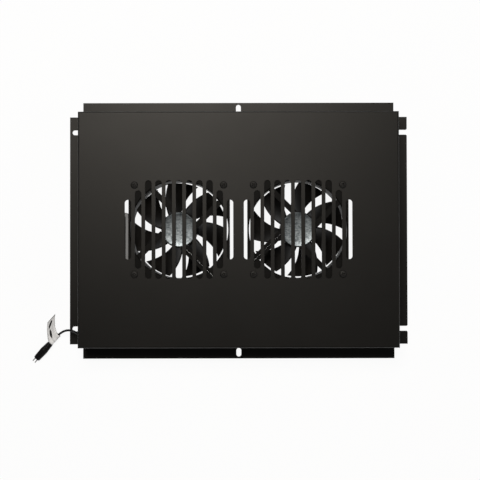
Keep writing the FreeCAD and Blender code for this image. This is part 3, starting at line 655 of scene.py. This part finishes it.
def threaded_shank(values, length, material):
    """A shank below z = 0 with one helical ridge, tapered at its tip."""
    columns, rows_per_turn = 24, 6
    rows = int(length / values.thread_pitch * rows_per_turn) + 1
    points = []
    for row in range(rows):
        z = -length * row / (rows - 1)
        tip = min(1.0, (length + z) / values.thread_pitch)
        for column in range(columns):
            share = (z / values.thread_pitch + column / columns) % 1.0
            ridge = 1.0 - abs(2.0 * share - 1.0)
            radius = values.shank_radius - values.thread_depth * (1.0 - ridge * tip)
            angle = column * math.tau / columns
            points.append((radius * math.cos(angle), radius * math.sin(angle), z))
    faces = [tuple(reversed(face)) for face in grid_faces(rows, columns, closed=True)]
    last = (rows - 1) * columns
    faces.append(tuple(reversed(range(last, last + columns))))
    return new_piece("shank", points, faces, material)


def merged(name, pieces, material):
    """One piece from several."""
    form = bmesh.new()
    for piece in pieces:
        form.from_mesh(piece.data)
        bpy.data.objects.remove(piece)
    mesh = bpy.data.meshes.new(name)
    form.to_mesh(mesh)
    form.free()
    mesh.materials.append(material)
    return linked(name, mesh)


def hex_nut(material):
    """A chamfered hexagon nut, its top face at z = 0."""
    low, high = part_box("fan_nuts")
    thick = high[2] - low[2]
    across, bore, bore_mouth, past = 7.0 * MM, 2.05 * MM, 2.45 * MM, 0.1 * MM
    corner = across / math.sqrt(3)
    face, full = corner * 0.86, corner * 1.02
    chamfer, sink = 0.35 * MM, 0.4 * MM
    block = turned_form([(corner, -thick), (corner, 0.0)], 6)
    nut = new_piece("nut", *block, material, smooth=False)
    cone = [(face, -thick - past), (full, -thick + chamfer), (full, -chamfer), (face, past)]
    carve(nut, new_piece("cone", *turned_form(cone, 64), material), "INTERSECT")
    hole = [(bore_mouth, -thick - past), (bore, -thick + sink), (bore, -sink), (bore_mouth, past)]
    carve(nut, new_piece("bore", *turned_form(hole, ROUND), material))
    return eased(nut, 0.05 * MM)


def plain_washer(material):
    """A plain washer with rounded edges, its top face at z = 0."""
    low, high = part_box("fan_washers")
    thick = high[2] - low[2]
    outer, inner, ease = 4.4 * MM, 2.1 * MM, 0.12 * MM
    loop = [(inner, -thick + ease), (inner + ease, -thick), (outer - ease, -thick)]
    loop += [(outer, -thick + ease), (outer, -ease), (outer - ease, 0.0)]
    loop += [(inner + ease, 0.0), (inner, -ease), (inner, -thick + ease)]
    points = [p for radius, z in loop for p in circle_points(radius, z, ROUND)]
    return new_piece("washer", points, grid_faces(len(loop), ROUND, closed=True), material)


def pattern_tree():
    """Geometry Nodes: one piece at the four corners of each of two fans, turned at random."""
    tree = bpy.data.node_groups.new("fan_corner_pattern", "GeometryNodeTree")
    sockets = (("Piece", "Object"), ("Fan Pitch", "Float"), ("Screw Pitch", "Float"),
               ("Height", "Float"), ("Turn", "Float"), ("Seed", "Int"), ("Finish", "Material"))
    for name, kind in sockets:
        tree.interface.new_socket(name=name, in_out="INPUT", socket_type="NodeSocket" + kind)
    tree.interface.new_socket(name="Geometry", in_out="OUTPUT", socket_type="NodeSocketGeometry")
    given = tree.nodes.new("NodeGroupInput").outputs

    def add(kind, output, inputs):
        """A node with its inputs fed, of which one output comes back."""
        node = tree.nodes.new(kind)
        for name, value in inputs.items():
            if isinstance(value, bpy.types.NodeSocket):
                tree.links.new(value, node.inputs[name])
            else:
                node.inputs[name].default_value = value
        return node.outputs[output]

    pitch, two = given["Screw Pitch"], {"Vertices X": 2, "Vertices Y": 2}
    pairs = add("GeometryNodeMeshGrid", "Mesh", {"Size X": given["Fan Pitch"], "Size Y": 0.0, **two})
    corners = add("GeometryNodeMeshGrid", "Mesh", {"Size X": pitch, "Size Y": pitch, **two})
    fans = add("GeometryNodeMergeByDistance", "Geometry", {"Geometry": pairs})
    sets = add("GeometryNodeInstanceOnPoints", "Instances", {"Points": fans, "Instance": corners})
    places = add("GeometryNodeRealizeInstances", "Geometry", {"Geometry": sets})
    lift = add("ShaderNodeCombineXYZ", "Vector", {"Z": given["Height"]})
    raised = add("GeometryNodeSetPosition", "Geometry", {"Geometry": places, "Offset": lift})
    chance = add("FunctionNodeRandomValue", 1, {2: 0.0, 3: given["Turn"], "Seed": given["Seed"]})
    spin = add("ShaderNodeCombineXYZ", "Vector", {"Z": chance})
    turned = add("FunctionNodeEulerToRotation", "Rotation", {"Euler": spin})
    source = add("GeometryNodeObjectInfo", "Geometry", {"Object": given["Piece"]})
    copies = add("GeometryNodeInstanceOnPoints", "Instances",
                 {"Points": raised, "Instance": source, "Rotation": turned})
    solid = add("GeometryNodeRealizeInstances", "Geometry", {"Geometry": copies})
    finish = add("GeometryNodeSetMaterial", "Geometry",
                 {"Geometry": solid, "Material": given["Finish"]})
    tree.links.new(finish, tree.nodes.new("NodeGroupOutput").inputs["Geometry"])
    return tree


def at_fan_corners(name, template, height, turn, values, material):
    """The template at the eight screws of the two fans, as one piece."""
    tree = bpy.data.node_groups.get("fan_corner_pattern") or pattern_tree()
    fan_pitch = middle_of("right_motor_plate").x - middle_of("left_motor_plate").x
    piece = new_piece(name, [], [], material)
    modifier = piece.modifiers.new("pattern", "NODES")
    modifier.node_group = tree
    given = {"Piece": template, "Fan Pitch": fan_pitch, "Screw Pitch": values.screw_pitch,
             "Height": height, "Turn": turn, "Seed": values.seed, "Finish": material}
    for item in tree.interface.items_tree:
        if item.name in given:
            modifier[item.identifier] = given[item.name]
    baked(piece)
    bpy.data.objects.remove(template)
    return piece


class FANTRAY_OT_fixings(bpy.types.Operator):
    """Build the threaded screws, washers and nuts that hold the fans"""
    bl_idname = "fan_tray.fixings"
    bl_label = "Fan fixings"

    def execute(self, context):
        values = context.scene.fan_tray_fixings
        black = plated_metal("black_oxide", rgb(0.026, 0.025, 0.0236), rgb(0.042, 0.0404, 0.0386),
                             0.6 * MM, 0.64)
        zinc = plated_metal("zinc", rgb(0.42, 0.43, 0.45), rgb(0.66, 0.66, 0.67), 0.8 * MM, 0.32)
        tops = [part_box(node)[1][2] for node in ("fan_screws", "fan_washers", "fan_nuts")]
        panel_top = tops[0] - values.head_height
        screws = at_fan_corners("pan_screws", pan_screw(values, black), panel_top, math.tau,
                                values, black)
        washers = at_fan_corners("washers", plain_washer(zinc), tops[1], 0.0, values, zinc)
        nuts = at_fan_corners("nuts", hex_nut(zinc), tops[2], 0.0, values, zinc)
        for piece, node in ((screws, "fan_screws"), (washers, "fan_washers"), (nuts, "fan_nuts")):
            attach(piece, "tray")
            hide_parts(node)
        return {"FINISHED"}


# ---- pan, fans and wiring ----

class FANTRAY_OT_pan(bpy.types.Operator):
    """Give the folded pan its powder coat"""
    bl_idname = "fan_tray.pan"
    bl_label = "Tray pan"

    def execute(self, context):
        paint(powder_coat(), "tray_panel", "tray_sides")
        return {"FINISHED"}


def motor_cap(name, node, values, material):
    """A spun cap: a shallow dish inside a rolled rim, closed underneath."""
    low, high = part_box(node)
    centre = middle_of(node)
    radius, thick = (high[0] - low[0]) / 2, high[2] - low[2]
    roll, roll_steps, dish_steps = values.cap_roll, 8, 24
    foot, smallest = 0.15 * MM, 0.2 * MM
    profile = [(radius * 0.5, 0.0), (radius - foot, 0.0), (radius, foot)]
    for n in range(roll_steps + 1):
        angle = n / roll_steps * math.pi
        profile.append((radius - roll * (1 - math.cos(angle)),
                        thick - roll * (1 - math.sin(angle))))
    inner = radius - 2 * roll
    for n in range(dish_steps + 1):
        share = 1.0 - n / dish_steps
        sunk = values.cap_dish * (1 - share ** 3)
        profile.append((max(inner * share, smallest), thick - roll - sunk))
    points, faces = turned_form(profile, 96)
    place = Vector((centre.x, centre.y, low[2]))
    return new_piece(name, [p + place for p in points], faces, material)


class FANTRAY_OT_fans(bpy.types.Operator):
    """Finish the fan frames, impellers and motors"""
    bl_idname = "fan_tray.fans"
    bl_label = "Fans"

    def execute(self, context):
        values = context.scene.fan_tray_fans
        paint(cast_black(), *both("fan_frame"), *both("frame_lugs"), *both("frame_struts"))
        for side in ("left_", "right_"):
            plate = side + "motor_plate"
            paint(nylon_black(middle_of(side + "impeller")), side + "impeller")
            cap = motor_cap(side + "motor_cap", plate, values, spun_aluminium(middle_of(plate)))
            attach(cap, "tray")
            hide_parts(plate)
        brass = plated_metal("brass", rgb(0.5, 0.34, 0.14), rgb(0.72, 0.53, 0.26), 0.5 * MM, 0.3)
        bronze = plated_metal("bronze", rgb(0.28, 0.16, 0.08), rgb(0.48, 0.3, 0.16), 0.3 * MM, 0.45)
        steel = plated_metal("steel", rgb(0.3, 0.3, 0.31), rgb(0.5, 0.5, 0.52), 0.5 * MM, 0.35)
        ground = plated_metal("ground_steel", rgb(0.5, 0.5, 0.51), rgb(0.66, 0.66, 0.68), 0.2 * MM,
                              0.2)
        paint(brass, *both("bearing_tube"))
        paint(bronze, *both("bearings"))
        paint(laminated_steel(), *both("stator_core"))
        paint(wound_copper(), *both("windings"))
        paint(steel, *both("rotor_cage"), *both("shaft_clip"))
        paint(ground, *both("shaft"))
        return {"FINISHED"}


def twisted_pair(name, line, values, material):
    """Two insulated cores twisted round each other along a line, each closed at its ends."""
    around, clearance = 12, 1.03
    offset = values.core_radius * clearance
    points = []
    faces = []
    for core in (0, 1):
        faces += tube_faces(len(line), around, len(points))
        side = Vector((0, 0, 1))
        length = 0.0
        for row, place in enumerate(line):
            before = line[max(row - 1, 0)]
            along = (line[min(row + 1, len(line) - 1)] - before).normalized()
            length += (place - before).length
            side = (side - along * side.dot(along)).normalized()
            other = along.cross(side)
            turn = length / values.twist * math.tau + core * math.pi
            centre = place + (side * math.cos(turn) + other * math.sin(turn)) * offset
            for ring in circle_points(values.core_radius, 0.0, around):
                points.append(centre + side * ring.x + other * ring.y)
    return new_piece(name, points, faces, material)


def spaced(line, step):
    """Points at even steps along a line."""
    out = [line[0]]
    left = step
    for a, b in zip(line, line[1:]):
        run = (b - a).length
        while left < run:
            out.append(a.lerp(b, left / run))
            left += step
        left -= run
    return out + [line[-1]]


class FANTRAY_OT_wiring(bpy.types.Operator):
    """Finish the wiring box, leads, clips and grommet"""
    bl_idname = "fan_tray.wiring"
    bl_label = "Wiring"

    def execute(self, context):
        values = context.scene.fan_tray_leads
        points_per_turn = 20
        box_abs = moulded("box_abs", rgb(0.15, 0.15, 0.152), rgb(0.19, 0.19, 0.192), 0.5 * MM,
                          0.03 * MM, 0.5)
        cream = moulded("terminal_nylon", rgb(0.6, 0.58, 0.52), rgb(0.7, 0.68, 0.62), 0.4 * MM,
                        0.01 * MM, 0.4)
        sheath = moulded("lead_sheath", grey(0.008), grey(0.02), 1.2 * MM, 0.01 * MM, 0.22, 1.0)
        clip = moulded("clip_nylon", grey(0.01), grey(0.02), 0.5 * MM, 0.02 * MM, 0.45)
        rubber = moulded("rubber", grey(0.009), grey(0.018), 0.4 * MM, 0.03 * MM, 0.6)
        steel = plated_metal("lid_screw_steel", rgb(0.35, 0.35, 0.36), rgb(0.55, 0.55, 0.57),
                             0.4 * MM, 0.3)
        paint(box_abs, "wiring_box", "box_lid")
        paint(cream, "terminals")
        paint(foam(), "box_pad")
        paint(steel, "box_screws")
        paint(sheath, "supply_lead")
        for node, route in LEAD_ROUTES.items():
            line = spaced(line_of(node, route), values.twist / points_per_turn)
            pair = twisted_pair(node + "_pair", line, values, sheath)
            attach(pair, "tray")
            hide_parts(node)
        paint(clip, "lead_clips")
        paint(rubber, "grommet")
        return {"FINISHED"}


# ---- cord, tag and plug ----

class PlugAxes:
    """The plug's own axes: its origin at the cord's end, +X along the cord."""

    def __init__(self):
        self.origin = Vector(CORD_ROUTE[-1])
        along = self.origin - Vector(CORD_ROUTE[-2])
        self.turn = Vector((1, 0, 0)).rotation_difference(along)

    def world(self, x, y, z):
        return self.origin + self.turn @ Vector((x, y, z))


def smooth_line(points, steps):
    """A Catmull-Rom line through points, with the given steps between two of them."""
    ends = [points[0] * 2 - points[1]] + points + [points[-1] * 2 - points[-2]]
    line = []
    for a, b, c, d in zip(ends, ends[1:], ends[2:], ends[3:]):
        for n in range(steps):
            t = n / steps
            line.append(0.5 * ((2 * b) + (c - a) * t + (2 * a - 5 * b + 4 * c - d) * t * t
                               + (3 * b - a - 3 * c + d) * t ** 3))
    return line + [points[-1]]


def tag_profile(ply_gap):
    """The folded strip seen along the cord: down one ply, round the cord and back.

    Each point is aside, up and back along the cord, in millimetres."""
    flag = [(-19.5, 5.4, 17.4), (-17.1, 4.2, 13.9), (-14.5, 3.1, 10.4), (-11.9, 2.0, 7.4)]
    upper = [(-8.5, 1.2, 4.2), (-5.6, 1.1, 1.8), (-3.2, 1.5, 0.5)]
    over = [(-1.2, 1.95, 0.0), (0.9, 1.95, 0.0), (2.5, 1.2, 0.0), (3.1, -0.2, 0.0)]
    under = [(2.5, -1.6, 0.0), (0.9, -2.25, 0.0), (-1.2, -2.2, 0.0), (-3.0, -1.2, 0.3)]
    lower = [(-4.7, -0.3, 1.3), (-6.4, 0.25, 2.6), (-8.6, 0.85, 4.2)]
    back = [(aside, up - ply_gap, along) for aside, up, along in reversed(flag)]
    return [Vector(p) * MM for p in flag + upper + over + under + lower + back]


class FANTRAY_OT_tag(bpy.types.Operator):
    """Build the folded paper tag on the cord"""
    bl_idname = "fan_tray.tag"
    bl_label = "Cord tag"

    def execute(self, context):
        values = context.scene.fan_tray_tag
        axes = PlugAxes()
        profile = smooth_line(tag_profile(ply_gap=0.2), steps=6)
        columns, lip_rise, wave_length = 40, 0.6, 9 * MM
        loop_reach, fade = 4 * MM, 8 * MM
        lengths = [0.0]
        for before, after in zip(profile, profile[1:]):
            lengths.append(lengths[-1] + (after - before).length)
        points = []
        for along, place in zip(lengths, profile):
            end = min(along, lengths[-1] - along)
            lip = max(0.0, 1.0 - end / values.lip) ** 2 * values.lip * lip_rise
            out = min(1.0, max(0.0, -place.x - loop_reach) / fade)
            for column in range(columns):
                share = column / (columns - 1)
                x = -values.gap - values.length * share - place.z
                curl = max(0.0, 1.0 - share / values.curl_share) ** 2 * values.curl
                wave = noise.noise(Vector((share * 1.7, place.x / wave_length, 0.3)))
                lift = (wave * values.crumple - curl) * out + lip
                points.append(axes.world(x, place.x, place.y + lift))
        tag = new_piece("paper_tag", points, grid_faces(len(profile), columns), tag_paper())
        layer = tag.data.uv_layers.new(name="strip")
        turn_at = max(range(len(profile)), key=lambda row: profile[row].x)
        root = next(row for row in range(len(profile)) if profile[row].x > -3 * MM)
        for loop in tag.data.loops:
            row, column = divmod(loop.vertex_index, columns)
            up = 1.0 - lengths[row] / lengths[root] if row <= turn_at else -1.0
            layer.data[loop.index].uv = (column / (columns - 1), up)
        thick = tag.modifiers.new("paper", "SOLIDIFY")
        thick.thickness = values.thickness
        thick.offset = 0.0
        baked(tag)
        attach(tag, "tray")
        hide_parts("cord_tag")
        return {"FINISHED"}


def plug_width(values, length, x):
    """Half width of the plug's smooth form at a distance from its rear end."""
    stations = [(0.0, values.rear), (values.widest_at * length, values.widest),
                (length - values.nose, values.front), (length, values.tip)]
    for (x0, w0), (x1, w1) in zip(stations, stations[1:]):
        if x <= x1:
            share = (x - x0) / (x1 - x0)
            return (w0 + (w1 - w0) * share) / 2
    return values.tip / 2


def plug_form(name, axes, values, material):
    """A moulded plug: grip ribs, a flattened double taper and a bevelled nose."""
    length, rows_per_rib, columns = values.plug_length, 18, 72
    groove_at, half_groove, steepness = 0.78, 0.22, 4.0
    rounding, inset, square = 0.35 * MM, 0.3 * MM, 2.3
    step = values.rib_pitch / rows_per_rib
    points = []
    rows = int(length / step) + 1
    ribbed = values.ribs * values.rib_pitch
    for row in range(rows + 1):
        x = min(row * step, length)
        half = plug_width(values, length, x)
        phase = (x / values.rib_pitch) % 1.0
        groove = steepness * (half_groove - abs(phase - groove_at)) / half_groove
        if x < ribbed:
            half -= values.rib_depth * max(0.0, min(1.0, groove))
        end = min(x, length - x) / rounding
        if end < 1.0:
            half -= inset * (1.0 - math.sqrt(1.0 - (1.0 - end) ** 2))
        for ring in circle_points(1.0, 0.0, columns):
            bulge = 1.0 / (abs(ring.x) ** square + abs(ring.y) ** square) ** (1 / square)
            points.append(axes.world(x, half * ring.x * bulge, half * ring.y * bulge * values.flat))
    return new_piece(name, points, tube_faces(rows + 1, columns), material)


class FANTRAY_OT_cord(bpy.types.Operator):
    """Build the free cord and its plug"""
    bl_idname = "fan_tray.cord"
    bl_label = "Cord and plug"

    def execute(self, context):
        values = context.scene.fan_tray_cord
        sheath = moulded("cord_sheath", grey(0.003), grey(0.006), 0.8 * MM, 0.01 * MM, 0.35, 0.3)
        body = moulded("plug_vinyl", grey(0.0025), grey(0.005), 0.35 * MM, 0.03 * MM, 0.36, 0.2)
        pin = plated_metal("pin_nickel", rgb(0.2, 0.19, 0.17), rgb(0.34, 0.33, 0.3), 0.3 * MM, 0.22)
        paint(pin, "plug_pins")
        plug = plug_form("moulded_plug", PlugAxes(), values, body)
        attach(plug, "tray")
        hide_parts("plug_body")
        cord = route_curve("free_cord", CORD_ROUTE, values.radius)
        cord.data.materials.append(sheath)
        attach(cord, "tray")
        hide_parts("power_cord")
        return {"FINISHED"}


# ---- floor, lights and camera ----

def pale_floor(white):
    """A pale matt floor, plain white where it is looked at, which keeps a soft shadow."""
    floor = Finish("pale_floor", Base_Color=grey(0.9), Roughness=0.9)
    path = floor.tree.nodes.new("ShaderNodeLightPath")
    rays = [Value(floor.tree, path.outputs["Is %s Ray" % kind]) for kind in
            ("Camera", "Glossy", "Transmission")]
    seen = rays[0].larger(rays[1]).larger(rays[2])
    glow = floor.add("Emission", None, {"Color": grey(1), "Strength": 1.0})
    matt = Value(floor.tree, floor.surface.outputs[0])
    mix = floor.tree.nodes.new("ShaderNodeMixShader")
    for socket, value in zip(mix.inputs, (seen * white, matt, glow)):
        feed(floor.tree, socket, value)
    floor.tree.links.new(mix.outputs[0], floor.tree.nodes["Material Output"].inputs["Surface"])
    return floor.material


def soft_light(name, place, size, power, colour=(1.0, 1.0, 1.0)):
    """A rectangular light that looks at the origin."""
    data = bpy.data.lights.new(name, "AREA")
    data.shape = "RECTANGLE"
    data.size, data.size_y = size
    data.energy = power
    data.color = colour
    light = linked(name, data)
    light.location = place
    light.rotation_euler = (-Vector(place)).to_track_quat("-Z", "Y").to_euler()


def studio_world(level):
    """A dim even surround, plain white where the camera sees past the floor."""
    world = bpy.data.worlds.new("studio")
    bpy.context.scene.world = world
    world.use_nodes = True
    tree = world.node_tree
    back = tree.nodes["Background"]
    back.inputs["Color"].default_value = grey(1)
    path = tree.nodes.new("ShaderNodeLightPath")
    seen = Value(tree, path.outputs["Is Camera Ray"])
    feed(tree, back.inputs["Strength"], seen * (1.0 - level) + level)


class FANTRAY_OT_stage(bpy.types.Operator):
    """Add the floor, the lights and the camera"""
    bl_idname = "fan_tray.stage"
    bl_label = "Stage"

    def execute(self, context):
        values = context.scene.fan_tray_stage
        reach, gap = 12.0, 0.3 * MM
        corners = [(-reach, -reach), (reach, -reach), (reach, reach), (-reach, reach)]
        points = [(x, y, cad_bounds[0][2] - gap) for x, y in corners]
        floor = new_piece("floor", points, [(0, 1, 2, 3)], pale_floor(values.floor_white))
        soft_light("key", (-0.15, 0.65, 1.5), (0.7, 0.7), values.key_power, WARM_WHITE[:3])
        soft_light("side", (1.5, -0.4, 0.8), (0.9, 0.9), values.fill_power)
        soft_light("front", (-0.3, -1.6, 0.6), (1.2, 0.7), values.fill_power)
        studio_world(level=0.07)
        data = bpy.data.cameras.new("camera")
        data.sensor_width = 36.0
        data.lens = values.lens
        camera = linked("camera", data)
        lean = [math.radians(angle) for angle in CAMERA_LEAN]
        turn = Euler(lean, "XYZ").to_matrix().transposed().to_4x4()
        camera.matrix_world = Matrix.Translation(CAMERA_PLACE) @ turn
        context.scene.camera = camera
        context.scene.view_settings.view_transform = "Standard"
        return {"FINISHED"}


# ---- the add-on ----

class FANTRAY_PT_panel(bpy.types.Panel):
    bl_label = "Fan Tray"
    bl_idname = "FANTRAY_PT_panel"
    bl_space_type = "VIEW_3D"
    bl_region_type = "UI"
    bl_category = "Fan Tray"

    def draw(self, context):
        for operator in OPERATORS:
            self.layout.operator(operator.bl_idname)
        for name in SETTINGS:
            group = getattr(context.scene, name)
            for key in group.bl_rna.properties.keys():
                if key not in ("rna_type", "name"):
                    self.layout.prop(group, key)


SETTINGS = {
    "fan_tray_fans": FanSettings,
    "fan_tray_leads": LeadSettings,
    "fan_tray_fixings": FixingSettings,
    "fan_tray_cord": CordSettings,
    "fan_tray_tag": TagSettings,
    "fan_tray_stage": StageSettings,
}
OPERATORS = (FANTRAY_OT_pan, FANTRAY_OT_fans, FANTRAY_OT_fixings, FANTRAY_OT_wiring,
             FANTRAY_OT_tag, FANTRAY_OT_cord, FANTRAY_OT_stage)


def register():
    for kind in (*SETTINGS.values(), *OPERATORS, FANTRAY_PT_panel):
        bpy.utils.register_class(kind)
    for name, kind in SETTINGS.items():
        setattr(bpy.types.Scene, name, bpy.props.PointerProperty(type=kind))


def unregister():
    for name in SETTINGS:
        delattr(bpy.types.Scene, name)
    for kind in (FANTRAY_PT_panel, *reversed(OPERATORS), *SETTINGS.values()):
        bpy.utils.unregister_class(kind)


def main():
    register()
    bpy.ops.fan_tray.pan()
    bpy.ops.fan_tray.fans()
    bpy.ops.fan_tray.fixings()
    bpy.ops.fan_tray.wiring()
    bpy.ops.fan_tray.tag()
    bpy.ops.fan_tray.cord()
    bpy.ops.fan_tray.stage()


if __name__ == "__main__":
    main()
